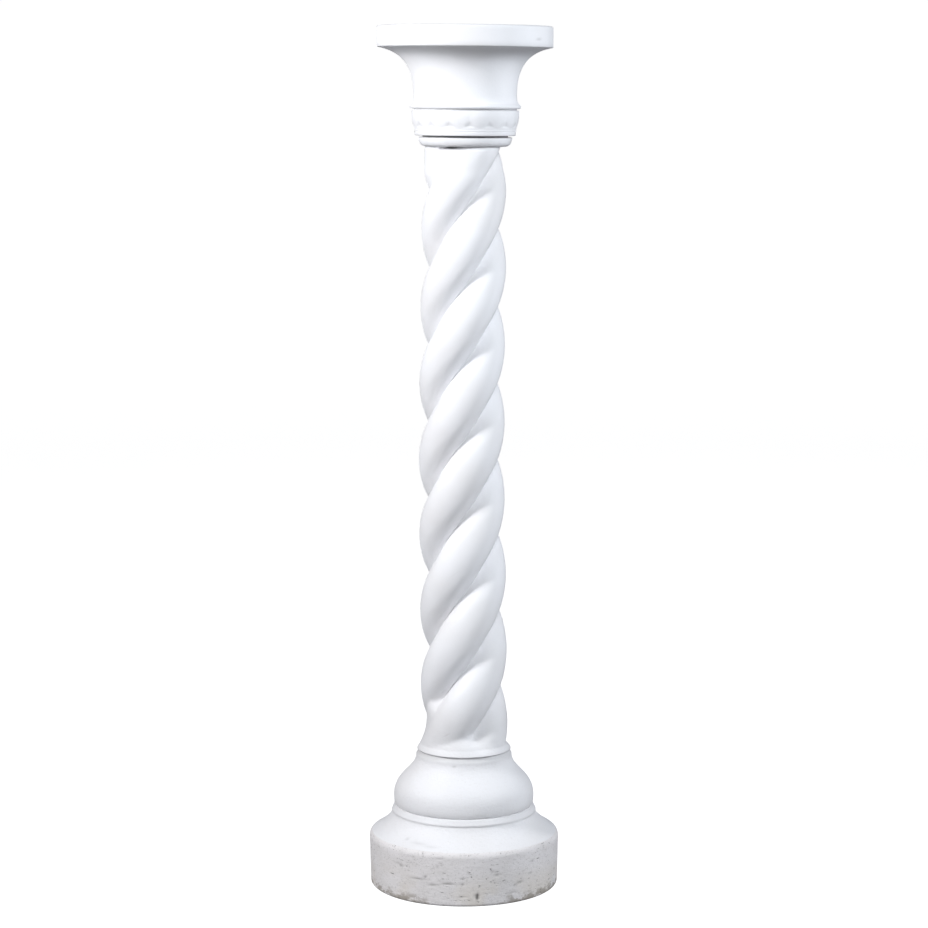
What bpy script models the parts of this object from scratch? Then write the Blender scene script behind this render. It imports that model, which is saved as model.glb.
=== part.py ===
"""Plaster pedestal column with a shaft of three twisted strands.

The column is one casting: a round stepped base, a right-hand twisted shaft
and a round capital with a disc on top. Metres, +Z up, and the origin is the
centre of the underside.
"""

import math

import bmesh
import bpy
from mathutils import Matrix, Vector
from mathutils.geometry import interpolate_bezier

# Base, from the floor up. A radius is measured from the column's axis.
DRUM_HEIGHT = 0.068
DRUM_FOOT_RADIUS = 0.1322
DRUM_RIM_RADIUS = 0.1338
DRUM_EDGE = 0.004
RIM_ROUNDING = 0.010
RIM_SLOPE = math.radians(59)
SLOPE_HEIGHT = 0.036
LOWER_FILLET_HEIGHT = 0.0095
LOWER_FILLET_FOOT_RADIUS = 0.1022
LOWER_FILLET_TOP_RADIUS = 0.0985
TORUS_HEIGHT = 0.0725
TORUS_BELLY_HEIGHT = 0.0135
TORUS_RADIUS = 0.0990
TORUS_NECK_RADIUS = 0.0677
NOSE_HEIGHT = 0.017
NOSE_EDGE_HEIGHT = 0.0085
NOSE_RADIUS = 0.0662
CREASE_DEPTH = 0.0012

# How far the base's curves run on before they bend, as shares of their height
TORUS_NECK_RUN = 0.33
TORUS_BELLY_RUN = 0.42
TORUS_UNDERSIDE_RUN = 0.6
SLOPE_TOP_RUN = 0.27
SLOPE_TOP_LEAN = 0.08
SLOPE_FOOT_RUN = 0.55

# Shaft. The round strands would meet at the groove's depth, measured inward from
# their crest, and a hollow along each groove is cut deeper still.
SHAFT_LENGTH = 0.834
STRANDS = 3
STRAND_LEAD = 0.320
GROOVE_ANGLE_AT_FOOT = math.radians(29)
CREST_RADIUS_AT_FOOT = 0.0615
CREST_RADIUS_AT_TOP = 0.0583
GROOVE_DEPTH = 0.0140
HOLLOW_DEPTH = 0.0090
HOLLOW_HALF_ANGLE = math.radians(35)
FOOT_RADIUS = 0.0612
FLARE_HEIGHT = 0.025
FLARE_DEPTH = 0.0055
FILL_HEIGHT = 0.097
FILL_SOFTNESS = 0.0015
TRIM_DEPTH = 0.0025
TRIM_LENGTH = 0.032
TRIM_RELEASE = 0.030

# Capital, from the shaft up
RING_HEIGHT = 0.0125
RING_RADIUS = 0.0648
RING_FOOT_RADIUS = 0.0548
RING_SIDE_HEIGHT = 0.0025
CHANNEL_HEIGHT = 0.0023
CHANNEL_RADIUS = 0.0632
UPPER_FILLET_HEIGHT = 0.0062
UPPER_FILLET_RADIUS = 0.0700
BAND_HEIGHT = 0.028
BAND_FOOT_RADIUS = 0.0705
BAND_TOP_RADIUS = 0.0748
RECESS_HEIGHT = 0.002
RECESS_RADIUS = 0.0725
BEAD_HEIGHT = 0.006
BEAD_RADIUS = 0.0768
BEAD_SWEEP = math.radians(55)
NECK_HEIGHT = 0.012
NECK_RADIUS = 0.0712
BELL_HEIGHT = 0.065
DISC_HEIGHT = 0.029
DISC_RADIUS = 0.1210
DISC_TOP_EDGE = 0.0035
DISC_LOWER_EDGE = 0.0015

# How far the capital's curves run on before they bend, as shares of their size
BELL_RIM_RUN = 0.65
BELL_RIM_DROP = 0.09
BELL_FOOT_RUN = 0.63
NECK_RUN = 0.6
BAND_TOP_RUN = 0.45
BAND_FOOT_RUN = 0.3
RING_SIDE_RUN = 0.75
RING_FOOT_RUN = 0.5

# Darts pressed into the ornament band, between worn eggs
DARTS = 16
DART_ANGLE = math.radians(-85.4)
DART_LEVEL = 0.0098
DART_WIDTH = 0.011
DART_HEIGHT = 0.009
DART_DEPTH = 0.0020

QUARTER_TURN = math.radians(90)

# Facets and hidden overlaps
TURNED_STEPS = 40
STRAND_STEPS = 14
SHAFT_RINGS = 47
ARC_STEPS = 2
LONG_CURVE_STEPS = 6
SHORT_CURVE_STEPS = 3
EMBED = 0.012
MERGE_DISTANCE = 0.00001

PLASTER_COLOUR = (0.86, 0.86, 0.88, 1.0)
PLASTER_ROUGHNESS = 0.75
SMOOTH_ANGLE = math.radians(38)

BASE_HEIGHT = (
    DRUM_HEIGHT + SLOPE_HEIGHT + LOWER_FILLET_HEIGHT + TORUS_HEIGHT + NOSE_HEIGHT
)
CAPITAL_LEVEL = BASE_HEIGHT + SHAFT_LENGTH


def point(radius, height):
    """A place on a turned profile."""
    return Vector((radius, 0, height))


def curve(start, start_handle, end_handle, end, steps):
    """A smooth stretch of profile, without its first point."""
    return interpolate_bezier(start, start_handle, end_handle, end, steps + 1)[1:]


def rounded(centre, radius, start_angle, end_angle):
    """Points of an arc about a centre. Angles are measured up from the horizontal."""
    points = []
    for step in range(ARC_STEPS + 1):
        angle = start_angle + (end_angle - start_angle) * step / ARC_STEPS
        points.append(centre + point(radius * math.cos(angle), radius * math.sin(angle)))
    return points


def base_profile():
    """The base's outer line, from the axis inside the shaft down to the floor."""
    crease = point(LOWER_FILLET_FOOT_RADIUS - CREASE_DEPTH, DRUM_HEIGHT + SLOPE_HEIGHT)
    fillet_foot = point(LOWER_FILLET_FOOT_RADIUS, crease.z + CREASE_DEPTH)
    fillet_top = point(LOWER_FILLET_TOP_RADIUS, crease.z + LOWER_FILLET_HEIGHT)
    hollow = fillet_top - point(2 * CREASE_DEPTH, -CREASE_DEPTH / 4)
    belly = point(TORUS_RADIUS, fillet_top.z + TORUS_BELLY_HEIGHT)
    neck = point(TORUS_NECK_RADIUS, fillet_top.z + TORUS_HEIGHT)
    nose = point(NOSE_RADIUS, neck.z + NOSE_EDGE_HEIGHT)
    slant = (NOSE_RADIUS - FOOT_RADIUS) / (BASE_HEIGHT - nose.z)
    hidden_top = BASE_HEIGHT + EMBED / 2
    ledge = point(NOSE_RADIUS - slant * (hidden_top - nose.z), hidden_top)
    rim_centre = point(DRUM_RIM_RADIUS - RIM_ROUNDING, DRUM_HEIGHT)
    rim = rounded(rim_centre, RIM_ROUNDING, RIM_SLOPE, 0)
    rim_run = point(math.sin(RIM_SLOPE), -math.cos(RIM_SLOPE)) * SLOPE_HEIGHT
    drum_edge = point(DRUM_FOOT_RADIUS - DRUM_EDGE, DRUM_EDGE)

    profile = [
        point(0, hidden_top),
        ledge,
        nose,
        nose - point(CREASE_DEPTH, 2 * CREASE_DEPTH),
        neck + point(-CREASE_DEPTH / 3, 3 * CREASE_DEPTH),
        neck,
    ]
    profile += curve(
        neck,
        neck - point(0, TORUS_HEIGHT * TORUS_NECK_RUN),
        belly + point(0, TORUS_HEIGHT * TORUS_BELLY_RUN),
        belly,
        LONG_CURVE_STEPS,
    )
    profile += curve(
        belly,
        belly - point(0, TORUS_BELLY_HEIGHT * TORUS_UNDERSIDE_RUN),
        hollow + point(2 * CREASE_DEPTH, CREASE_DEPTH),
        hollow,
        SHORT_CURVE_STEPS,
    )
    profile += [fillet_top, fillet_foot, crease]
    profile += curve(
        crease,
        crease + point(SLOPE_TOP_LEAN, -SLOPE_TOP_RUN) * SLOPE_HEIGHT,
        rim[0] - rim_run * SLOPE_FOOT_RUN,
        rim[0],
        LONG_CURVE_STEPS,
    )
    profile += rim[1:]
    profile += rounded(drum_edge, DRUM_EDGE, 0, -QUARTER_TURN)
    profile.append(point(0, 0))
    return profile


def capital_profile():
    """The capital's outer line, from the centre of its top down to the shaft."""
    ring_foot = CAPITAL_LEVEL
    channel_foot = ring_foot + RING_HEIGHT
    fillet_foot = channel_foot + CHANNEL_HEIGHT
    band_foot = fillet_foot + UPPER_FILLET_HEIGHT
    recess_foot = band_foot + BAND_HEIGHT
    bead_foot = recess_foot + RECESS_HEIGHT
    neck_foot = bead_foot + BEAD_HEIGHT
    bell_foot = neck_foot + NECK_HEIGHT
    disc_foot = bell_foot + BELL_HEIGHT
    top = disc_foot + DISC_HEIGHT

    upper_edge = point(DISC_RADIUS - DISC_TOP_EDGE, top - DISC_TOP_EDGE)
    lower_edge = point(DISC_RADIUS - DISC_LOWER_EDGE, disc_foot + DISC_LOWER_EDGE)
    bell_top = lower_edge - point(0, DISC_LOWER_EDGE)
    bell_end = point(NECK_RADIUS, bell_foot)
    bell_overhang = bell_top.x - NECK_RADIUS
    neck_end = point(BEAD_RADIUS - CREASE_DEPTH / 2, neck_foot)
    bead_centre = point(BEAD_RADIUS - BEAD_HEIGHT / 2, bead_foot + BEAD_HEIGHT / 2)
    band_top = point(BAND_TOP_RADIUS, recess_foot)
    band_end = point(BAND_FOOT_RADIUS, band_foot)
    ring_side = point(RING_RADIUS, channel_foot - RING_SIDE_HEIGHT)
    ring_end = point(RING_FOOT_RADIUS, ring_foot)

    profile = [point(0, top)]
    profile += rounded(upper_edge, DISC_TOP_EDGE, QUARTER_TURN, 0)
    profile += rounded(lower_edge, DISC_LOWER_EDGE, 0, -QUARTER_TURN)
    profile += curve(
        bell_top,
        bell_top - point(bell_overhang * BELL_RIM_RUN, BELL_HEIGHT * BELL_RIM_DROP),
        bell_end + point(0, BELL_HEIGHT * BELL_FOOT_RUN),
        bell_end,
        LONG_CURVE_STEPS,
    )
    profile += curve(
        bell_end,
        bell_end - point(0, NECK_HEIGHT * NECK_RUN),
        neck_end - point((BEAD_RADIUS - NECK_RADIUS) / 2, 0),
        neck_end,
        SHORT_CURVE_STEPS,
    )
    profile += rounded(bead_centre, BEAD_HEIGHT / 2, BEAD_SWEEP, -BEAD_SWEEP)
    profile += [
        point(RECESS_RADIUS, bead_foot),
        point(RECESS_RADIUS, recess_foot),
        band_top,
    ]
    profile += curve(
        band_top,
        band_top - point(0, BAND_HEIGHT * BAND_TOP_RUN),
        band_end + (band_top - band_end) * BAND_FOOT_RUN,
        band_end,
        SHORT_CURVE_STEPS,
    )
    profile += [
        point(UPPER_FILLET_RADIUS - CREASE_DEPTH / 2, band_foot),
        point(UPPER_FILLET_RADIUS, band_foot - CREASE_DEPTH),
        point(UPPER_FILLET_RADIUS - CREASE_DEPTH, fillet_foot),
        point(CHANNEL_RADIUS, fillet_foot - CREASE_DEPTH / 2),
        point(CHANNEL_RADIUS, channel_foot),
        point(RING_RADIUS, channel_foot),
        ring_side,
    ]
    profile += curve(
        ring_side,
        ring_side - point(0, (ring_side.z - ring_foot) * RING_SIDE_RUN),
        ring_end + point((RING_RADIUS - RING_FOOT_RADIUS) * RING_FOOT_RUN, 0),
        ring_end,
        SHORT_CURVE_STEPS,
    )
    profile.append(point(0, ring_foot))
    return profile


def crest_radius(height):
    """How far the strands stand out, at a height above the shaft's foot."""
    share = height / SHAFT_LENGTH
    crest = CREST_RADIUS_AT_FOOT + (CREST_RADIUS_AT_TOP - CREST_RADIUS_AT_FOOT) * share
    below_trim = SHAFT_LENGTH - TRIM_LENGTH - height
    released = min(max(below_trim / TRIM_RELEASE, 0), 1)
    return crest - TRIM_DEPTH * (1 - released) ** 2


def groove_radius(height):
    """How far from the axis two strands would meet, before the hollow is cut."""
    share = height / SHAFT_LENGTH
    crest = CREST_RADIUS_AT_FOOT + (CREST_RADIUS_AT_TOP - CREST_RADIUS_AT_FOOT) * share
    return crest - GROOVE_DEPTH


def strand_radius(angle, crest, groove):
    """The outside of a strand of round section, at an angle from its own crest."""
    half_angle = math.pi / STRANDS
    offset = (crest**2 - groove**2) / (2 * (crest - groove * math.cos(half_angle)))
    thickness = crest - offset
    across = offset * math.sin(angle)
    nearness = max(1 - (half_angle - abs(angle)) / HOLLOW_HALF_ANGLE, 0)
    hollow = HOLLOW_DEPTH * nearness**2
    return offset * math.cos(angle) + math.sqrt(thickness**2 - across**2) - hollow


def foot_radius(height):
    """The smooth foot that fills the grooves and flares out to the base."""
    fill = math.sin(QUARTER_TURN * min(max(1 - height / FILL_HEIGHT, 0), 1))
    flare = min(max(1 - height / FLARE_HEIGHT, 0), 1)
    bottom = groove_radius(FILL_HEIGHT) - HOLLOW_DEPTH - FILL_SOFTNESS
    return bottom + (FOOT_RADIUS - FLARE_DEPTH - bottom) * fill + FLARE_DEPTH * flare**2


def shaft_radius(angle, height):
    """The shaft's surface, at an angle from a strand's crest."""
    strand = strand_radius(angle, crest_radius(height), groove_radius(height))
    foot = foot_radius(height)
    blend = math.hypot(strand - foot, FILL_SOFTNESS)
    return (strand + foot + blend) / 2


def shaft_section(bm, level):
    """One ring of points round the shaft, turned with the strands."""
    height = min(max(level - BASE_HEIGHT, 0), SHAFT_LENGTH)
    turn = GROOVE_ANGLE_AT_FOOT + 2 * math.pi * (level - BASE_HEIGHT) / STRAND_LEAD
    half_angle = math.pi / STRANDS
    ring = []
    for strand in range(STRANDS):
        for step in range(STRAND_STEPS):
            angle = half_angle * (2 * step / STRAND_STEPS - 1)
            radius = shaft_radius(angle, height)
            around = turn + half_angle * (2 * strand + 1) + angle
            ring.append(
                bm.verts.new((radius * math.cos(around), radius * math.sin(around), level))
            )
    return ring


def build_shaft():
    """Rings of the twisted section, joined into a closed solid."""
    bm = bmesh.new()
    foot = BASE_HEIGHT - EMBED
    length = SHAFT_LENGTH + 2 * EMBED
    rings = []
    for index in range(SHAFT_RINGS + 1):
        rings.append(shaft_section(bm, foot + length * index / SHAFT_RINGS))
    for lower, upper in zip(rings, rings[1:]):
        for index in range(len(lower)):
            after = (index + 1) % len(lower)
            bm.faces.new((lower[index], lower[after], upper[after], upper[index]))
    bm.faces.new(reversed(rings[0]))
    bm.faces.new(rings[-1])
    return mesh_object("pedestal_column", bm)


def build_darts():
    """Lens-shaped cutters round the ornament band, one for each dart."""
    bm = bmesh.new()
    band_foot = CAPITAL_LEVEL + RING_HEIGHT + CHANNEL_HEIGHT + UPPER_FILLET_HEIGHT
    share = DART_LEVEL / BAND_HEIGHT
    band_radius = BAND_FOOT_RADIUS + (BAND_TOP_RADIUS - BAND_FOOT_RADIUS) * share
    lens = Matrix.Diagonal((DART_DEPTH, DART_WIDTH / 2, DART_HEIGHT / 2, 1))
    place = Matrix.Translation((band_radius, 0, band_foot + DART_LEVEL))
    for index in range(DARTS):
        turn = Matrix.Rotation(DART_ANGLE + 2 * math.pi * index / DARTS, 4, "Z")
        bmesh.ops.create_uvsphere(
            bm, u_segments=6, v_segments=4, radius=1, matrix=turn @ place @ lens
        )
    return mesh_object("dart_cutters", bm)


def mesh_object(name, bm):
    """A new object that holds the mesh."""
    mesh = bpy.data.meshes.new(name)
    bm.to_mesh(mesh)
    bm.free()
    return bpy.data.objects.new(name, mesh)


def turned_object(name, profile):
    """A solid of revolution, made by a Screw modifier from its outer line."""
    mesh = bpy.data.meshes.new(name)
    edges = [(index, index + 1) for index in range(len(profile) - 1)]
    mesh.from_pydata(profile, edges, [])
    turned = bpy.data.objects.new(name, mesh)
    screw = turned.modifiers.new("turn", "SCREW")
    screw.axis = "Z"
    screw.angle = 2 * math.pi
    screw.steps = TURNED_STEPS
    screw.render_steps = TURNED_STEPS
    screw.use_merge_vertices = True
    screw.merge_threshold = MERGE_DISTANCE
    return turned


def plaster():
    """White painted plaster, matt."""
    material = bpy.data.materials.new("painted_plaster")
    material.use_nodes = True
    surface = material.node_tree.nodes["Principled BSDF"]
    surface.inputs["Base Color"].default_value = PLASTER_COLOUR
    surface.inputs["Roughness"].default_value = PLASTER_ROUGHNESS
    surface.inputs["Metallic"].default_value = 0
    material.diffuse_color = PLASTER_COLOUR
    return material


def add_boolean(target, tool, operation):
    """Joins a solid to the target, or cuts it away."""
    boolean = target.modifiers.new(tool.name, "BOOLEAN")
    boolean.operation = operation
    boolean.solver = "EXACT"
    boolean.object = tool


def apply_modifiers(target):
    """Replaces the object's mesh with the one that its modifiers make."""
    bpy.context.view_layer.update()
    graph = bpy.context.evaluated_depsgraph_get()
    mesh = bpy.data.meshes.new_from_object(target.evaluated_get(graph))
    mesh.name = target.name
    target.modifiers.clear()
    target.data = mesh


for leftover in list(bpy.data.objects):
    bpy.data.objects.remove(leftover)

column_parts = bpy.data.collections.new("plaster_pedestal_column")
shaping_tools = bpy.data.collections.new("shaping_tools")
bpy.context.scene.collection.children.link(column_parts)
bpy.context.scene.collection.children.link(shaping_tools)

column = build_shaft()
column_parts.objects.link(column)
base = turned_object("base_turning", base_profile())
capital = turned_object("capital_turning", capital_profile())
darts = build_darts()
for tool in (base, capital, darts):
    shaping_tools.objects.link(tool)
    tool.hide_render = True
    tool.display_type = "WIRE"

add_boolean(capital, darts, "DIFFERENCE")
add_boolean(column, base, "UNION")
add_boolean(column, capital, "UNION")
apply_modifiers(column)
column.data.materials.clear()
column.data.materials.append(plaster())
column.data.shade_smooth()
column.data.set_sharp_from_angle(angle=SMOOTH_ANGLE)
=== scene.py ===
import math

import bpy
import numpy as np
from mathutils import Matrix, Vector
from mathutils.geometry import interpolate_bezier


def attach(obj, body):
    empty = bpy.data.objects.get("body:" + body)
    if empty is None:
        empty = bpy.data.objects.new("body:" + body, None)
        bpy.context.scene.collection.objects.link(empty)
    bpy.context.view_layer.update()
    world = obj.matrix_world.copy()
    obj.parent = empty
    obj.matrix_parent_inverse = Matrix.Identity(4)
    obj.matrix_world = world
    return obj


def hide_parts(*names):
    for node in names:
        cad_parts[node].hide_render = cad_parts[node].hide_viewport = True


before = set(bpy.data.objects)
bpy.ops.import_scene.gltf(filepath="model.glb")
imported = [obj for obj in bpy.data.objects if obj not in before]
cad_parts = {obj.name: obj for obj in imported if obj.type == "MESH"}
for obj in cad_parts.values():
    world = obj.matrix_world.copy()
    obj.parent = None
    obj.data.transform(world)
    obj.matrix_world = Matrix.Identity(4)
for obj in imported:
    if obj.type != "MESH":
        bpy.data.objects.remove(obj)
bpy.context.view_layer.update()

# Base. A plain drum carries a hollow shoulder, a small fillet, a fat round torus
# and a sharp nose. All are run with one profile and cast in plaster with the rest
# of the column, so this section lays the first rows of the casting's one skin.
DRUM_HEIGHT = 0.068
DRUM_FOOT_RADIUS = 0.1322
DRUM_RIM_RADIUS = 0.1338
DRUM_EDGE = 0.004
RIM_ROUNDING = 0.010
RIM_SLOPE = math.radians(59)
SLOPE_HEIGHT = 0.036
SLOPE_TOP_RUN = 0.27
SLOPE_TOP_LEAN = 0.08
SLOPE_FOOT_RUN = 0.55
LOWER_FILLET_HEIGHT = 0.0095
LOWER_FILLET_FOOT_RADIUS = 0.1022
LOWER_FILLET_TOP_RADIUS = 0.0985
TORUS_HEIGHT = 0.0725
TORUS_BELLY_HEIGHT = 0.0135
TORUS_RADIUS = 0.0990
TORUS_NECK_RADIUS = 0.0677
TORUS_NECK_RUN = 0.33
TORUS_BELLY_RUN = 0.42
TORUS_UNDERSIDE_RUN = 0.6
NOSE_HEIGHT = 0.017
NOSE_EDGE_HEIGHT = 0.0085
NOSE_RADIUS = 0.0662
NOSE_ROUNDING = 0.0010
NOSE_UNDERCUT = 0.0022
CREASE_DEPTH = 0.0012
UNDERSIDE_START = 0.03

COLUMNS = 240
QUARTER_TURN = math.radians(90)
GROOVE_ANGLE_AT_FOOT = math.radians(29)

column_angles = np.arange(COLUMNS) * (2 * math.pi / COLUMNS)
skin = []  # rows of the casting's surface: radii, levels, turn, name of the member


def point(radius, height):
    """A place on a turned profile."""
    return Vector((radius, 0, height))


def straight(start, end, steps):
    """Points along a straight stretch of profile, without its first."""
    return [start.lerp(end, step / steps) for step in range(1, steps + 1)]


def bend(start, start_handle, end_handle, end, steps):
    """Points along a smooth stretch of profile, without its first."""
    return interpolate_bezier(start, start_handle, end_handle, end, steps + 1)[1:]


def rounded(centre, radius, start_angle, end_angle, steps):
    """Points of an arc about a centre. Angles are measured up from the horizontal."""
    points = []
    for step in range(steps + 1):
        angle = start_angle + (end_angle - start_angle) * step / steps
        points.append(centre + point(radius * math.cos(angle), radius * math.sin(angle)))
    return points


def lay_rows(outline, turn, member):
    """Adds one row of the skin for each point of a turned profile."""
    for place in outline:
        radii = np.full(COLUMNS, place.x)
        levels = np.full(COLUMNS, place.z)
        skin.append((radii, levels, turn, member))


base_height = (
    DRUM_HEIGHT + SLOPE_HEIGHT + LOWER_FILLET_HEIGHT + TORUS_HEIGHT + NOSE_HEIGHT
)
underside = point(UNDERSIDE_START, 0)
edge_centre = point(DRUM_FOOT_RADIUS - DRUM_EDGE, DRUM_EDGE)
rim_centre = point(DRUM_RIM_RADIUS - RIM_ROUNDING, DRUM_HEIGHT)
rim_arc = rounded(rim_centre, RIM_ROUNDING, 0, RIM_SLOPE, steps=7)
rim_run = point(math.sin(RIM_SLOPE), -math.cos(RIM_SLOPE)) * SLOPE_HEIGHT
crease = point(LOWER_FILLET_FOOT_RADIUS - CREASE_DEPTH, DRUM_HEIGHT + SLOPE_HEIGHT)
fillet_foot = point(LOWER_FILLET_FOOT_RADIUS, crease.z + CREASE_DEPTH)
fillet_top = point(LOWER_FILLET_TOP_RADIUS, crease.z + LOWER_FILLET_HEIGHT)
hollow = fillet_top - point(2 * CREASE_DEPTH, -CREASE_DEPTH / 4)
belly = point(TORUS_RADIUS, fillet_top.z + TORUS_BELLY_HEIGHT)
neck = point(TORUS_NECK_RADIUS, fillet_top.z + TORUS_HEIGHT)
nose = point(NOSE_RADIUS, neck.z + NOSE_EDGE_HEIGHT)

lay_rows([underside], GROOVE_ANGLE_AT_FOOT, "underside")
lay_rows(
    straight(underside, edge_centre - point(0, DRUM_EDGE), steps=4),
    GROOVE_ANGLE_AT_FOOT,
    "underside",
)
drum_side = rounded(edge_centre, DRUM_EDGE, -QUARTER_TURN, 0, steps=4)[1:]
drum_side += straight(drum_side[-1], rim_arc[0], steps=38)
lay_rows(drum_side, GROOVE_ANGLE_AT_FOOT, "drum")

shoulder = rim_arc[1:]
shoulder += bend(
    rim_arc[-1],
    rim_arc[-1] - rim_run * SLOPE_FOOT_RUN,
    crease + point(SLOPE_TOP_LEAN, -SLOPE_TOP_RUN) * SLOPE_HEIGHT,
    crease,
    steps=17,
)
shoulder.append(fillet_foot)
shoulder += straight(fillet_foot, fillet_top, steps=5)
shoulder += straight(fillet_top, hollow, steps=2)
lay_rows(shoulder, GROOVE_ANGLE_AT_FOOT, "shoulder")

torus = bend(
    hollow,
    hollow + point(2 * CREASE_DEPTH, CREASE_DEPTH),
    belly - point(0, TORUS_BELLY_HEIGHT * TORUS_UNDERSIDE_RUN),
    belly,
    steps=9,
)
torus += bend(
    belly,
    belly + point(0, TORUS_HEIGHT * TORUS_BELLY_RUN),
    neck - point(0, TORUS_HEIGHT * TORUS_NECK_RUN),
    neck,
    steps=30,
)
nose_edge = nose - point(0, NOSE_ROUNDING)
nose_hollow = nose_edge - point(NOSE_UNDERCUT, 0)
torus += bend(
    neck,
    neck + point(-NOSE_UNDERCUT, (nose_hollow.z - neck.z) / 2),
    nose_hollow - point(0, (nose_hollow.z - neck.z) / 2),
    nose_hollow,
    steps=6,
)
torus += straight(nose_hollow, nose_edge, steps=2)
torus.append(nose + point(-NOSE_ROUNDING / 3, 0))
torus.append(nose + point(-NOSE_ROUNDING, NOSE_ROUNDING))
lay_rows(torus, GROOVE_ANGLE_AT_FOOT, "torus")

# Shaft. Three round strands twist right-handed up the shaft and meet in deep, sharp
# grooves. Plaster fills the grooves' ends at the foot, and one under the capital.
# Its rows turn with the strands, so that each groove lies along a line of points.
SHAFT_LENGTH = 0.834
STRANDS = 3
STRAND_LEAD = 0.320
CREST_RADIUS_AT_FOOT = 0.0615
CREST_RADIUS_AT_TOP = 0.0583
GROOVE_DEPTH = 0.0140
HOLLOW_DEPTH = 0.0090
HOLLOW_HALF_ANGLE = math.radians(35)
FOOT_RADIUS = 0.0612
FLARE_HEIGHT = 0.035
FLARE_DEPTH = 0.0080
FILL_MIDDLE_HEIGHT = 0.0620
FILL_SWING = 0.0445
FILL_HIGH_ANGLE = math.radians(150)
FILL_LENGTH = 0.040
FILL_SOFTNESS = 0.0015
PATCH_RADIUS = 0.0553
PATCH_LENGTH = 0.090
PATCH_RUN = 0.057
PATCH_GAP = 0.0050
PATCH_HALF_ANGLE = math.radians(55)
TRIM_DEPTH = 0.0025
TRIM_LENGTH = 0.032
TRIM_RELEASE = 0.030
FOOT_ROWS = 24
MIDDLE_ROWS = 104
TOP_ROWS = 16
FOOT_ROWS_END = 0.100
TOP_ROWS_START = 0.770
RIM_ROWS = 7
RIM_ROWS_START = 0.8275
LEDGE_ROWS = 3


def crest_radius(height):
    """How far the strands stand out, at a height above the shaft's foot."""
    share = height / SHAFT_LENGTH
    crest = CREST_RADIUS_AT_FOOT + (CREST_RADIUS_AT_TOP - CREST_RADIUS_AT_FOOT) * share
    released = min(max((SHAFT_LENGTH - TRIM_LENGTH - height) / TRIM_RELEASE, 0), 1)
    return crest - TRIM_DEPTH * (1 - released) ** 2


def groove_radius(height):
    """How far from the axis two strands would meet, before the hollow is cut."""
    share = height / SHAFT_LENGTH
    crest = CREST_RADIUS_AT_FOOT + (CREST_RADIUS_AT_TOP - CREST_RADIUS_AT_FOOT) * share
    return crest - GROOVE_DEPTH


def eased(share):
    """A share held between none and all, with soft ends."""
    share = np.clip(share, 0, 1)
    return share**2 * (3 - 2 * share)


def fill_radii(height):
    """The plaster in the grooves. It flares out at the foot, where it stands higher on
    the left, and under the ring it closes one groove at the front left."""
    bottom = groove_radius(FILL_MIDDLE_HEIGHT) - HOLLOW_DEPTH - FILL_SOFTNESS
    around = shaft_turn(height) + column_angles - FILL_HIGH_ANGLE
    fill_top = FILL_MIDDLE_HEIGHT + FILL_SWING * np.cos(around)
    fill = eased((fill_top - height) / FILL_LENGTH)
    flare = min(max(1 - height / FLARE_HEIGHT, 0), 1)
    foot = bottom + (FOOT_RADIUS - FLARE_DEPTH - bottom) * fill + FLARE_DEPTH * flare**2
    drop = SHAFT_LENGTH - height
    patch = eased((PATCH_LENGTH - drop) / PATCH_RUN) * eased(drop / PATCH_GAP)
    from_first_groove = np.minimum(column_angles, 2 * math.pi - column_angles)
    patch *= eased(2 - from_first_groove / PATCH_HALF_ANGLE)
    return foot + (PATCH_RADIUS - bottom) * patch


def shaft_radii(height):
    """The twisted section's radius at each column of points. The first is in a groove."""
    crest = crest_radius(height)
    groove = groove_radius(height)
    half_angle = math.pi / STRANDS
    from_crest = column_angles % (2 * half_angle) - half_angle
    offset = (crest**2 - groove**2) / (2 * (crest - groove * math.cos(half_angle)))
    thickness = crest - offset
    across = offset * np.sin(from_crest)
    nearness = np.clip(1 - (half_angle - np.abs(from_crest)) / HOLLOW_HALF_ANGLE, 0, 1)
    strand = offset * np.cos(from_crest) + np.sqrt(thickness**2 - across**2)
    strand -= HOLLOW_DEPTH * nearness**2
    fill = fill_radii(height)
    return (strand + fill + np.hypot(strand - fill, FILL_SOFTNESS)) / 2


def shaft_turn(height):
    """How far the strands have turned at a height above the shaft's foot."""
    return GROOVE_ANGLE_AT_FOOT + 2 * math.pi * height / STRAND_LEAD


nose_radii, nose_levels = skin[-1][:2]
foot_radii = shaft_radii(0)
for row in range(1, LEDGE_ROWS):
    share = row / LEDGE_ROWS
    radii = nose_radii + (foot_radii - nose_radii) * share
    levels = nose_levels + (base_height - nose_levels) * share
    skin.append((radii, levels, GROOVE_ANGLE_AT_FOOT, "ledge"))

shaft_heights = np.concatenate([
    np.linspace(0, FOOT_ROWS_END, FOOT_ROWS, endpoint=False),
    np.linspace(FOOT_ROWS_END, TOP_ROWS_START, MIDDLE_ROWS, endpoint=False),
    np.linspace(TOP_ROWS_START, RIM_ROWS_START, TOP_ROWS, endpoint=False),
    np.linspace(RIM_ROWS_START, SHAFT_LENGTH, RIM_ROWS, endpoint=False),
])
for height in shaft_heights:
    levels = np.full(COLUMNS, base_height + height)
    skin.append((shaft_radii(height), levels, shaft_turn(height), "shaft"))

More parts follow.
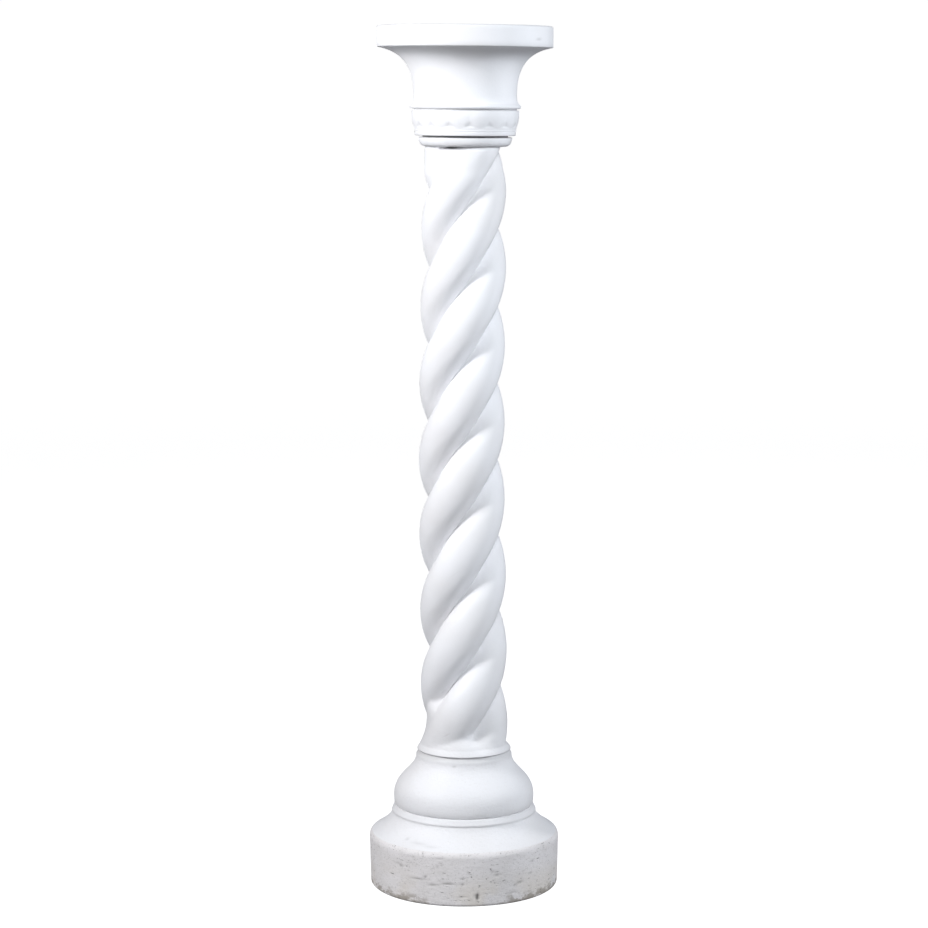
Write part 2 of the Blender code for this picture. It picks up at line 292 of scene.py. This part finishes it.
# Capital. A rounded ring, a dark channel, a fillet and a band of worn eggs and darts
# carry a bead, a hollow bell and a flat disc. It is cast with the shaft, and the
# disc's top is the flat that a vase or a bust stands on.
RING_HEIGHT = 0.0125
RING_RADIUS = 0.0648
RING_FOOT_RADIUS = 0.0548
RING_SIDE_HEIGHT = 0.0025
RING_SIDE_RUN = 0.6
RING_FOOT_RUN = 0.5
RING_TOP_EDGE = 0.0008
CHANNEL_HEIGHT = 0.0023
CHANNEL_RADIUS = 0.0590
UPPER_FILLET_HEIGHT = 0.0062
UPPER_FILLET_RADIUS = 0.0700
UPPER_FILLET_EDGE = 0.0006
BAND_HEIGHT = 0.028
BAND_FOOT_RADIUS = 0.0705
BAND_TOP_RADIUS = 0.0748
BAND_TOP_RUN = 0.45
BAND_FOOT_RUN = 0.3
RECESS_HEIGHT = 0.002
RECESS_RADIUS = 0.0712
BEAD_HEIGHT = 0.006
BEAD_RADIUS = 0.0768
BEAD_SWEEP = math.radians(55)
NECK_HEIGHT = 0.012
NECK_RADIUS = 0.0712
NECK_RUN = 0.6
BELL_HEIGHT = 0.065
BELL_RIM_RUN = 0.65
BELL_RIM_DROP = 0.09
BELL_FOOT_RUN = 0.63
DISC_HEIGHT = 0.029
DISC_RADIUS = 0.1210
DISC_TOP_EDGE = 0.0035
DISC_LOWER_EDGE = 0.0015
TOP_MIDDLE_RADIUS = 0.02
UNDERSIDE_ROWS = 8
UNDERSIDE_CROWDING = 0.8

capital_turn = shaft_turn(SHAFT_LENGTH)
ring_foot = base_height + SHAFT_LENGTH
channel_foot = ring_foot + RING_HEIGHT
upper_fillet_foot = channel_foot + CHANNEL_HEIGHT
band_foot = upper_fillet_foot + UPPER_FILLET_HEIGHT
recess_foot = band_foot + BAND_HEIGHT
bead_foot = recess_foot + RECESS_HEIGHT
neck_foot = bead_foot + BEAD_HEIGHT
bell_foot = neck_foot + NECK_HEIGHT
disc_foot = bell_foot + BELL_HEIGHT
disc_top = disc_foot + DISC_HEIGHT

ring_end = point(RING_FOOT_RADIUS, ring_foot)
ring_side = point(RING_RADIUS, channel_foot - RING_SIDE_HEIGHT)
ring_curve = bend(
    ring_end,
    ring_end + point((RING_RADIUS - RING_FOOT_RADIUS) * RING_FOOT_RUN, 0),
    ring_side - point(0, (ring_side.z - ring_foot) * RING_SIDE_RUN),
    ring_side,
    steps=24,
)
curve_radii = [0] + [place.x for place in ring_curve]
curve_levels = [ring_foot] + [place.z for place in ring_curve]

top_radii = shaft_radii(SHAFT_LENGTH)
for row in range(UNDERSIDE_ROWS + 1):
    share = (row / UNDERSIDE_ROWS) ** UNDERSIDE_CROWDING
    radii = top_radii + (RING_RADIUS - top_radii) * share
    levels = np.interp(radii, curve_radii, curve_levels)
    skin.append((radii, levels, capital_turn, "ring"))

ring_top = point(RING_RADIUS, channel_foot)
channel_back = point(CHANNEL_RADIUS, channel_foot)
channel_top = point(CHANNEL_RADIUS, upper_fillet_foot)
fillet_under = point(UPPER_FILLET_RADIUS - CREASE_DEPTH, upper_fillet_foot)
band_end = point(BAND_FOOT_RADIUS, band_foot)
band_top = point(BAND_TOP_RADIUS, recess_foot)
mouldings = [ring_top - point(0, RING_TOP_EDGE), ring_top - point(RING_TOP_EDGE, 0)]
mouldings += straight(mouldings[-1], channel_back, steps=3)
mouldings += straight(channel_back, channel_top, steps=2)
mouldings += straight(channel_top, fillet_under, steps=4)
mouldings.append(fillet_under + point(UPPER_FILLET_EDGE, UPPER_FILLET_EDGE / 2))
mouldings += straight(
    mouldings[-1], point(UPPER_FILLET_RADIUS, band_foot - 2 * CREASE_DEPTH), steps=3
)
mouldings.append(point(UPPER_FILLET_RADIUS, band_foot - CREASE_DEPTH))
mouldings.append(point(UPPER_FILLET_RADIUS - CREASE_DEPTH, band_foot - CREASE_DEPTH / 2))
mouldings.append(band_end)
lay_rows(mouldings, capital_turn, "mouldings")

band = bend(
    band_end,
    band_end + (band_top - band_end) * BAND_FOOT_RUN,
    band_top - point(0, BAND_HEIGHT * BAND_TOP_RUN),
    band_top,
    steps=24,
)
lay_rows(band, capital_turn, "band")

recess_back = point(RECESS_RADIUS, recess_foot)
bead_centre = point(BEAD_RADIUS - BEAD_HEIGHT / 2, bead_foot + BEAD_HEIGHT / 2)
bead_arc = rounded(bead_centre, BEAD_HEIGHT / 2, -BEAD_SWEEP, BEAD_SWEEP, steps=6)
neck_end = point(BEAD_RADIUS - CREASE_DEPTH / 2, neck_foot)
bell_end = point(NECK_RADIUS, bell_foot)
lower_edge = point(DISC_RADIUS - DISC_LOWER_EDGE, disc_foot + DISC_LOWER_EDGE)
upper_edge = point(DISC_RADIUS - DISC_TOP_EDGE, disc_top - DISC_TOP_EDGE)
bell_top = lower_edge - point(0, DISC_LOWER_EDGE)
bell = straight(band_top, recess_back, steps=2)
bell += straight(recess_back, point(RECESS_RADIUS, bead_foot), steps=2)
bell += bead_arc
bell += bend(
    neck_end,
    neck_end - point((BEAD_RADIUS - NECK_RADIUS) / 2, 0),
    bell_end - point(0, NECK_HEIGHT * NECK_RUN),
    bell_end,
    steps=7,
)
bell += bend(
    bell_end,
    bell_end + point(0, BELL_HEIGHT * BELL_FOOT_RUN),
    bell_top - point((bell_top.x - NECK_RADIUS) * BELL_RIM_RUN, BELL_HEIGHT * BELL_RIM_DROP),
    bell_top,
    steps=26,
)
lay_rows(bell, capital_turn, "bell")

disc = rounded(lower_edge, DISC_LOWER_EDGE, -QUARTER_TURN, 0, steps=3)[1:]
disc += straight(disc[-1], upper_edge + point(DISC_TOP_EDGE, 0), steps=8)
disc += rounded(upper_edge, DISC_TOP_EDGE, 0, QUARTER_TURN, steps=4)[1:]
disc += straight(disc[-1], point(TOP_MIDDLE_RADIUS, disc_top), steps=5)
lay_rows(disc, capital_turn, "disc")

# Wear and handwork. Casting leaves the rings a little out of true. The eggs
# are worn nearly flat under paint, and the foot is pitted, dented and chipped.
MILLIMETRE = 0.001
EGGS = 16
FIRST_DART_ANGLE = math.radians(-62.9)
EGG_LEVEL = 0.0165
EGG_HALF_HEIGHT = 0.0115
EGG_HEIGHT = 0.0008
EGG_GAP = 1.03
EGG_ROUNDNESS = 0.75
DART_LEVEL = 0.0092
DART_HALF_WIDTH = 0.0050
DART_HALF_HEIGHT = 0.0042
DART_DEPTH = 0.0011
DART_TAPER = 0.8
DART_SWELL = 0.6
DART_REACH = 2
DART_FOOT_SHARPNESS = 2.5
DART_SHADE = 0.12
MOST_GRIME_AND_SHADE = 1.5

radii = np.array([row[0] for row in skin])
levels = np.array([row[1] for row in skin])
members = np.array([row[3] for row in skin])
angles = np.array([row[2] for row in skin])[:, None] + column_angles[None, :]
grime_and_shade = np.zeros(radii.shape)

egg_pitch = 2 * math.pi / EGGS
from_dart = (angles - FIRST_DART_ANGLE + egg_pitch / 2) % egg_pitch - egg_pitch / 2
from_egg = (angles - FIRST_DART_ANGLE) % egg_pitch - egg_pitch / 2
band_rise = levels - band_foot
on_band = (members == "band")[:, None]
egg_across = from_egg * 2 / egg_pitch * EGG_GAP
egg_up = (band_rise - EGG_LEVEL) / EGG_HALF_HEIGHT
egg_inside = np.clip(1 - egg_across**2 - egg_up**2, 0, 1)
dart_across = from_dart * BAND_TOP_RADIUS / DART_HALF_WIDTH
dart_up = (band_rise - DART_LEVEL) / DART_HALF_HEIGHT
dart_narrowing = np.clip(dart_up, -DART_SWELL, DART_REACH) * DART_TAPER
dart_inside = np.clip(1 - np.abs(dart_across) - dart_narrowing, 0, 1)
dart_inside *= np.clip((dart_up + 1) * DART_FOOT_SHARPNESS, 0, 1)
relief = EGG_HEIGHT * (egg_inside**EGG_ROUNDNESS - 1) - DART_DEPTH * dart_inside
radii += np.where(on_band, relief, 0)
# painted shade in the darts' hollows
grime_and_shade += np.where(on_band, DART_SHADE * np.clip(dart_inside * 2, 0, 1), 0)

# Level and half height in metres, and how much darkening is painted, for each band round the
# column.
# Most are painted shade in creases, recesses and under overhangs; the broad band above the shaft's
# foot is partly dirt and partly painted shade.
SHADE_AND_DIRT_BANDS = (
    # painted shade in the crease above the bead
    (neck_foot, 0.0007, 0.12),
    # painted shade in the recess under the bead
    (recess_foot + RECESS_HEIGHT / 2, 0.0014, 0.42),
    # painted shade in the crease under the band
    (band_foot - CREASE_DEPTH / 2, 0.0006, 0.12),
    # painted shade in the channel between the ring and the fillet
    (channel_foot + CHANNEL_HEIGHT / 2, 0.0014, 1.1),
    # painted shadow of the disc's edge on the bell
    (disc_foot - 0.004, 0.007, 0.42),
    # painted shade where the shaft runs in under the ring
    (ring_foot, 0.0016, 0.5),
    # painted shade in the crease at the shaft's foot
    (base_height, 0.0008, 0.12),
    # greyer above the shaft's foot: partly dirt, partly painted shade
    (base_height + 0.030, 0.026, 0.13),
    # painted shade under the nose
    (nose.z - 0.0045, 0.0048, 0.34),
    # painted shade on the torus's underside
    (fillet_top.z + 0.004, 0.0055, 0.16),
    # painted shade in the crease at the lower fillet's foot
    (crease.z, 0.0022, 0.12),
)
for level, half_height, darkening in SHADE_AND_DIRT_BANDS:
    grime_and_shade += darkening * np.exp(-((levels - level) / half_height) ** 2)

# Angle in degrees, level, half width and half height in millimetres, depth in
# millimetres, and how much dirt has gathered, for each dent, pit and chip.
MARKS = (
    (-104.3, 68.0, 6.5, 1.0, 0.6, 0.5),
    (-130.9, 49.4, 2.5, 1.9, 1.6, 0.9),
    (-134.1, 52.3, 5.0, 1.1, 0.8, 0.6),
    (-119.1, 55.4, 2.0, 1.2, 0.6, 0.4),
    (-106.1, 55.9, 1.8, 1.6, 0.8, 0.5),
    (-102.8, 58.5, 1.5, 1.2, 0.6, 0.4),
    (-118.5, 35.6, 11.0, 1.3, 1.0, 0.7),
    (-113.8, 40.3, 2.5, 1.8, 1.3, 0.8),
    (-109.4, 29.6, 6.0, 1.3, 1.2, 0.8),
    (-99.5, 32.4, 8.5, 1.3, 1.3, 1.0),
    (-91.2, 40.4, 2.4, 1.2, 0.9, 0.8),
    (-91.2, 31.9, 2.0, 1.4, 1.2, 0.9),
    (-91.2, 14.8, 5.0, 1.2, 0.8, 0.6),
    (-72.6, 48.6, 1.6, 1.6, 1.0, 0.8),
    (-70.1, 43.7, 3.0, 1.4, 0.9, 0.8),
    (-57.9, 25.8, 2.8, 1.5, 1.2, 0.8),
    (-54.4, 28.8, 4.0, 1.6, 1.2, 0.9),
    (-45.1, 54.8, 2.2, 1.8, 0.9, 0.7),
    (-46.5, 38.2, 3.0, 1.6, 0.9, 0.6),
    (-60.0, 16.0, 6.0, 1.2, 0.7, 0.5),
    (-82.0, 14.5, 1.5, 4.0, 2.6, 2.2),
    (-132.3, 84.0, 2.0, 1.3, 0.9, 0.5),
    (-121.6, 82.0, 12.0, 1.4, 0.7, 0.25),
    (-112.5, 80.0, 10.0, 1.2, 0.6, 0.2),
    (-101.7, 181.3, 2.6, 1.2, 0.5, 0.45),
    (-100.6, 448.9, 1.8, 1.6, 0.6, 0.5),
    (-113.3, 222.4, 2.0, 1.5, 0.6, 0.5),
    (-35.0, 1182.0, 5.5, 1.0, 0.5, 0.5),
)
for angle, level, half_width, half_height, depth, darkening in MARKS:
    away = (angles - math.radians(angle) + math.pi) % (2 * math.pi) - math.pi
    across = away * radii / (half_width * MILLIMETRE)
    up = (levels - level * MILLIMETRE) / (half_height * MILLIMETRE)
    dent = np.exp(-(across**2 + up**2))
    radii -= depth * MILLIMETRE * dent
    grime_and_shade += darkening * dent

# The casting bows to the left and its capital leans. It also swells and shrinks a
# little around its waves, each with its lobes round the column and its twist.
WOBBLE = 0.0004
WOBBLE_BIAS = 0.9
SLOW_LOBES = 2
SLOW_TWIST = 9
QUICK_LOBES = 3
QUICK_TWIST = 21
QUICK_START = 1
BOW = -0.0030
BOW_MIDDLE = 0.62
BOW_HALF_LENGTH = 0.40
CAPITAL_SHIFT = 0.0017
CAPITAL_TILT = math.radians(0.45)
TILT_START = 0.98
slow_wave = np.sin(SLOW_LOBES * angles + SLOW_TWIST * levels)
quick_wave = np.sin(QUICK_LOBES * angles - QUICK_TWIST * levels + QUICK_START)
radii += WOBBLE * np.where(levels > 0, slow_wave * quick_wave - WOBBLE_BIAS, 0)

x = radii * np.cos(angles)
y = radii * np.sin(angles)
bow_share = np.clip((levels - BOW_MIDDLE) / BOW_HALF_LENGTH, -1, 1)
tilt_share = eased((levels - TILT_START) / (ring_foot - TILT_START))
x += BOW * (1 + np.cos(math.pi * bow_share)) / 2 + CAPITAL_SHIFT * tilt_share
z = levels - math.tan(CAPITAL_TILT) * tilt_share * (x + DISC_RADIUS)

row_count = len(skin)
vertices = np.stack([x, y, z], axis=-1).reshape(-1, 3)
foot_centre = len(vertices)
top_centre = foot_centre + 1
vertices = np.vstack([vertices, [[0, 0, 0], [x[-1].mean(), y[-1].mean(), z[-1].mean()]]])
here = np.arange(COLUMNS)
after = (here + 1) % COLUMNS
faces = []
for row in range(row_count - 1):
    lower = row * COLUMNS
    upper = lower + COLUMNS
    faces += np.stack([lower + here, lower + after, upper + after, upper + here], axis=-1).tolist()
for column in range(COLUMNS):
    faces.append((foot_centre, int(after[column]), column))
    last = (row_count - 1) * COLUMNS
    faces.append((top_centre, last + column, last + int(after[column])))

column_mesh = bpy.data.meshes.new("plaster_column")
column_mesh.from_pydata(vertices.tolist(), [], faces)
column_mesh.shade_smooth()
# One darkening per point: painted shade in the creases, the recesses, the darts and under the
# overhangs, with dirt in the dents, pits and chips.
grime_and_shade_values = np.append(np.clip(grime_and_shade, 0, MOST_GRIME_AND_SHADE).reshape(-1), [0, 0]).astype(np.float32)
grime_and_shade_layer = column_mesh.attributes.new("grime_and_shade", "FLOAT", "POINT")
grime_and_shade_layer.data.foreach_set("value", grime_and_shade_values)
plaster_column = bpy.data.objects.new("plaster_column", column_mesh)
bpy.context.scene.collection.objects.link(plaster_column)

# Painted plaster. Brushed white emulsion, whiter on the shaft and the capital and
# greyer and more pitted towards the floor. On the drum's side the paint has gone
# thin over bare, scratched plaster, with brown dirt along the floor at both sides.
# Shade is painted into the creases, the recesses and under the overhangs.
PAINT = (0.868, 0.872, 0.895, 1)
PAINT_GREY = (0.815, 0.808, 0.818, 1)
BARE_PLASTER = (0.765, 0.740, 0.735, 1)
BARE_LIGHT = (0.835, 0.810, 0.815, 1)
PLASTER_GRAIN = (0.50, 0.48, 0.47, 1)
PLASTER_BUFF = (0.74, 0.69, 0.63, 1)
FLOOR_DIRT = (0.27, 0.235, 0.19, 1)
DIRT_AND_SHADE_COLOUR = (0.20, 0.19, 0.18, 1)
GREYING_TOP = 0.45
GREYING_FOOT = 0.02
GREYING = 0.35
PAINT_EDGE_TOP = 0.0768
PAINT_EDGE_FOOT = 0.0756
PAINT_EDGE_WAVER = 0.0012
BUFF_TOP = 0.056
BUFF_FOOT = 0.012
FLOOR_DIRT_TOP = 0.024
FLOOR_DIRT_FOOT = 0.002
DIRTY_SIDES_START = 0.030
DIRTY_SIDES_FULL = 0.075
DIRT_AT_MIDDLE = 0.25
DIRT_SPREAD = 0.24
DIRT_COVER = 0.75
GRIME_AND_SHADE_COVER = 0.75
MOST_COVER = 0.9
GRAIN_COVER = 0.60
BUFF_COVER = 0.7
SPECKLE_COVER = 0.5
PIT_COVER = 0.72
DRUM_DRYNESS = 0.2
SKIN_RELIEF = 0.25
PIT_RELIEF = 1.5
BUMP_STRENGTH = 0.6
BUMP_DISTANCE = 0.0012

material = bpy.data.materials.new("painted_plaster")
material.use_nodes = True
nodes = material.node_tree.nodes
links = material.node_tree.links
surface = nodes["Principled BSDF"]
place = nodes.new("ShaderNodeTexCoord")
split = nodes.new("ShaderNodeSeparateXYZ")
links.new(place.outputs["Object"], split.inputs["Vector"])


def noise(scale, detail, stretch=(1, 1, 1), roughness=0.5):
    """Noise over the piece, drawn out along an axis where its stretch is small."""
    spread = nodes.new("ShaderNodeMapping")
    spread.inputs["Scale"].default_value = stretch
    links.new(place.outputs["Object"], spread.inputs["Vector"])
    texture = nodes.new("ShaderNodeTexNoise")
    texture.inputs["Scale"].default_value = scale
    texture.inputs["Detail"].default_value = detail
    texture.inputs["Roughness"].default_value = roughness
    links.new(spread.outputs["Vector"], texture.inputs["Vector"])
    return texture.outputs["Fac"]


def ramp(value, start, end, low=0.0, high=1.0):
    """The value carried from one range to another, smoothly and with ends held."""
    node = nodes.new("ShaderNodeMapRange")
    node.interpolation_type = "SMOOTHSTEP"
    links.new(value, node.inputs["Value"])
    node.inputs["From Min"].default_value = start
    node.inputs["From Max"].default_value = end
    node.inputs["To Min"].default_value = low
    node.inputs["To Max"].default_value = high
    return node.outputs["Result"]


def combine(operation, first, second):
    """Arithmetic on two values, or a value and a number."""
    node = nodes.new("ShaderNodeMath")
    node.operation = operation
    for socket, given in zip(node.inputs, (first, second)):
        if isinstance(given, (int, float)):
            socket.default_value = given
        else:
            links.new(given, socket)
    return node.outputs["Value"]


def tint(share, first, second):
    """One colour laid over another by a share."""
    node = nodes.new("ShaderNodeMix")
    node.data_type = "RGBA"
    links.new(share, node.inputs["Factor"])
    for socket, given in ((node.inputs["A"], first), (node.inputs["B"], second)):
        if isinstance(given, tuple):
            socket.default_value = given
        else:
            links.new(given, socket)
    return node.outputs["Result"]


level = split.outputs["Z"]
edge_waver = combine("MULTIPLY", noise(scale=60, detail=3), PAINT_EDGE_WAVER)
paint_edge = combine("ADD", level, edge_waver)
on_drum = ramp(paint_edge, start=PAINT_EDGE_TOP, end=PAINT_EDGE_FOOT)
lowness = ramp(level, start=GREYING_TOP, end=GREYING_FOOT)

cloud = noise(scale=9, detail=4)
paint = tint(ramp(cloud, start=0.35, end=0.75), PAINT, PAINT_GREY)
# Darker towards the floor.
paint = tint(combine("MULTIPLY", lowness, GREYING), paint, PAINT_GREY)

patches = noise(scale=26, detail=4, stretch=(1, 1, 1.8), roughness=0.6)
plaster = tint(ramp(patches, start=0.3, end=0.7), BARE_PLASTER, BARE_LIGHT)
grain = noise(scale=330, detail=3, stretch=(1, 1, 1.5), roughness=0.65)
grain_mask = ramp(grain, start=0.52, end=0.72)
plaster = tint(combine("MULTIPLY", grain_mask, GRAIN_COVER), plaster, PLASTER_GRAIN)
buff_places = ramp(noise(scale=14, detail=3), start=0.42, end=0.62)
buff_mask = combine("MULTIPLY", buff_places, ramp(level, start=BUFF_TOP, end=BUFF_FOOT))
plaster = tint(combine("MULTIPLY", buff_mask, BUFF_COVER), plaster, PLASTER_BUFF)
coat = tint(on_drum, paint, plaster)

speckle = ramp(noise(scale=420, detail=2), start=0.56, end=0.74)
speckle_mask = combine("MULTIPLY", speckle, lowness)
coat = tint(combine("MULTIPLY", speckle_mask, SPECKLE_COVER), coat, BARE_PLASTER)

pits = noise(scale=170, detail=3, stretch=(1, 1, 1.7), roughness=0.6)
pit_places = ramp(noise(scale=22, detail=2), start=0.44, end=0.56)
pit_mask = combine("MULTIPLY", ramp(pits, start=0.625, end=0.69), pit_places)
scratches = noise(scale=75, detail=2, stretch=(1, 1, 8), roughness=0.5)
scratch_places = ramp(noise(scale=34, detail=2), start=0.50, end=0.58)
scratch_mask = combine("MULTIPLY", ramp(scratches, start=0.66, end=0.72), scratch_places)
pit_mask = combine("MULTIPLY", combine("MAXIMUM", pit_mask, scratch_mask), on_drum)
coat = tint(combine("MULTIPLY", pit_mask, PIT_COVER), coat, DIRT_AND_SHADE_COLOUR)

from_middle = combine("ABSOLUTE", split.outputs["X"], 0)
at_sides = ramp(
    from_middle, start=DIRTY_SIDES_START, end=DIRTY_SIDES_FULL, low=DIRT_AT_MIDDLE, high=1.0
)
at_floor = ramp(level, start=FLOOR_DIRT_TOP, end=FLOOR_DIRT_FOOT)
near_floor = combine("MULTIPLY", at_floor, at_sides)
dirt_noise = noise(scale=70, detail=4, stretch=(1, 1, 1.8), roughness=0.65)
dirt_amount = combine("ADD", dirt_noise, combine("MULTIPLY", near_floor, DIRT_SPREAD))
dirt_mask = combine("MULTIPLY", ramp(dirt_amount, start=0.60, end=0.76), near_floor)
coat = tint(combine("MULTIPLY", dirt_mask, DIRT_COVER), coat, FLOOR_DIRT)

# That darkening is laid on as a dark colour: painted shade, and dirt where the marks are.
grime_and_shade_node = nodes.new("ShaderNodeAttribute")
grime_and_shade_node.attribute_name = "grime_and_shade"
grime_and_shade_share = combine("MULTIPLY", grime_and_shade_node.outputs["Fac"], GRIME_AND_SHADE_COVER)
coat = tint(combine("MINIMUM", grime_and_shade_share, MOST_COVER), coat, DIRT_AND_SHADE_COLOUR)
links.new(coat, surface.inputs["Base Color"])

finish = ramp(noise(scale=45, detail=3), start=0.3, end=0.7, low=0.55, high=0.70)
finish = combine("ADD", finish, combine("MULTIPLY", on_drum, DRUM_DRYNESS))
links.new(finish, surface.inputs["Roughness"])

skin_noise = noise(scale=260, detail=3, roughness=0.6)
rough_noise = noise(scale=110, detail=4, stretch=(1, 1, 1.6), roughness=0.6)
relief_height = combine("MULTIPLY", skin_noise, SKIN_RELIEF)
relief_height = combine("ADD", relief_height, combine("MULTIPLY", rough_noise, lowness))
relief_height = combine("SUBTRACT", relief_height, combine("MULTIPLY", pit_mask, PIT_RELIEF))
bump = nodes.new("ShaderNodeBump")
bump.inputs["Strength"].default_value = BUMP_STRENGTH
bump.inputs["Distance"].default_value = BUMP_DISTANCE
links.new(relief_height, bump.inputs["Height"])
links.new(bump.outputs["Normal"], surface.inputs["Normal"])
column_mesh.materials.append(material)

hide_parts("pedestal_column")
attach(plaster_column, "root")

# Studio. A plain pale floor sweeps up all round into plain walls. To the camera it
# keeps an even brightness of its own, and it throws little light on the column.
# Soft boxes stand all round, and most of the light comes from the front left.
SWEEP_STEP = 0.25
SWEEP_STEPS = 19
SWEEP_FLAT_RADIUS = 5.0
SWEEP_BEND = 2.0
SWEEP_HEIGHT = 6.0
SWEEP_COLUMNS = 96
SWEEP_COLOUR = (0.35, 0.35, 0.355, 1)
SWEEP_GLOW = (0.96, 0.96, 0.96, 1)
SWEEP_ROUGHNESS = 0.9
AIR_COLOUR = (0.80, 0.85, 1.0, 1)
AIR_STRENGTH = 0.05

sweep_outline = [point(SWEEP_STEP * step, 0) for step in range(1, SWEEP_STEPS + 1)]
sweep_outline += rounded(
    point(SWEEP_FLAT_RADIUS, SWEEP_BEND), SWEEP_BEND, -QUARTER_TURN, 0, steps=24
)
sweep_outline += [point(SWEEP_FLAT_RADIUS + SWEEP_BEND, SWEEP_HEIGHT)]
sweep_vertices = [(0, 0, 0)]
for place_on_sweep in sweep_outline:
    for column in range(SWEEP_COLUMNS):
        around = 2 * math.pi * column / SWEEP_COLUMNS
        sweep_vertices.append(
            (
                place_on_sweep.x * math.cos(around),
                place_on_sweep.x * math.sin(around),
                place_on_sweep.z,
            )
        )
sweep_faces = []
for column in range(SWEEP_COLUMNS):
    beside = (column + 1) % SWEEP_COLUMNS
    sweep_faces.append((0, 1 + column, 1 + beside))
    for row in range(len(sweep_outline) - 1):
        lower = 1 + row * SWEEP_COLUMNS
        upper = lower + SWEEP_COLUMNS
        sweep_faces.append((lower + column, upper + column, upper + beside, lower + beside))
sweep_mesh = bpy.data.meshes.new("studio_sweep")
sweep_mesh.from_pydata(sweep_vertices, [], sweep_faces)
sweep_mesh.shade_smooth()
sweep = bpy.data.objects.new("studio_sweep", sweep_mesh)
bpy.context.scene.collection.objects.link(sweep)
sweep_material = bpy.data.materials.new("studio_floor")
sweep_material.use_nodes = True
sweep_surface = sweep_material.node_tree.nodes["Principled BSDF"]
sweep_surface.inputs["Base Color"].default_value = SWEEP_COLOUR
sweep_surface.inputs["Roughness"].default_value = SWEEP_ROUGHNESS
sweep_surface.inputs["Emission Color"].default_value = SWEEP_GLOW
sight = sweep_material.node_tree.nodes.new("ShaderNodeLightPath")
sweep_material.node_tree.links.new(
    sight.outputs["Is Camera Ray"], sweep_surface.inputs["Emission Strength"]
)
sweep_mesh.materials.append(sweep_material)

scene = bpy.context.scene
scene.view_settings.view_transform = "Standard"
scene.world = bpy.data.worlds.new("studio_air")
scene.world.use_nodes = True
air = scene.world.node_tree.nodes["Background"]
air.inputs["Color"].default_value = AIR_COLOUR
air.inputs["Strength"].default_value = AIR_STRENGTH


def area_light(name, bearing, rise, distance, target, size, power, colour):
    """A soft box set around the column and turned towards a level on its axis."""
    aim = Vector((0, 0, target))
    around = math.radians(bearing)
    up = math.radians(rise)
    away = Vector((math.sin(around) * math.cos(up), -math.cos(around) * math.cos(up), math.sin(up)))
    light = bpy.data.lights.new(name, "AREA")
    light.shape = "RECTANGLE"
    light.size, light.size_y = size
    light.energy = power
    light.color = colour
    holder = bpy.data.objects.new(name, light)
    holder.location = aim + away * distance
    holder.rotation_euler = (-away).to_track_quat("-Z", "Y").to_euler()
    scene.collection.objects.link(holder)


# Name, bearing to the right of the camera and rise in degrees, distance, level of
# the target, size of the box, power in watts and colour of each light.
LIGHTS = (
    ("left_box", -60, 12, 1.7, 1.10, (0.5, 0.5), 24, (0.97, 0.98, 1.0)),
    ("left_key", -55, 30, 2.8, 0.70, (0.35, 0.35), 18, (1.0, 0.99, 0.98)),
    ("front_box", 20, 30, 2.8, 0.70, (1.4, 0.6), 35, (0.95, 0.96, 1.0)),
    ("right_box", 57, 30, 2.8, 0.70, (0.5, 0.5), 22, (0.86, 0.96, 1.0)),
    ("right_rim", 100, 10, 2.8, 0.70, (0.8, 0.8), 24, (0.92, 0.93, 1.0)),
    ("left_rim", -100, 10, 2.8, 0.70, (0.6, 0.6), 8, (0.94, 0.95, 1.0)),
)
for name, bearing, rise, distance, target, size, power, colour in LIGHTS:
    area_light(name, bearing, rise, distance, target, size, power, colour)

CAMERA_PLACE = (0, -3.75, 1.105)
CAMERA_PITCH = math.radians(7.719)
CAMERA_LENS = 105.44
CAMERA_SENSOR = 36
camera_data = bpy.data.cameras.new("camera")
camera_data.lens = CAMERA_LENS
camera_data.sensor_width = CAMERA_SENSOR
camera = bpy.data.objects.new("camera", camera_data)
camera.location = CAMERA_PLACE
camera.rotation_euler = (QUARTER_TURN - CAMERA_PITCH, 0, 0)
scene.collection.objects.link(camera)
scene.camera = camera
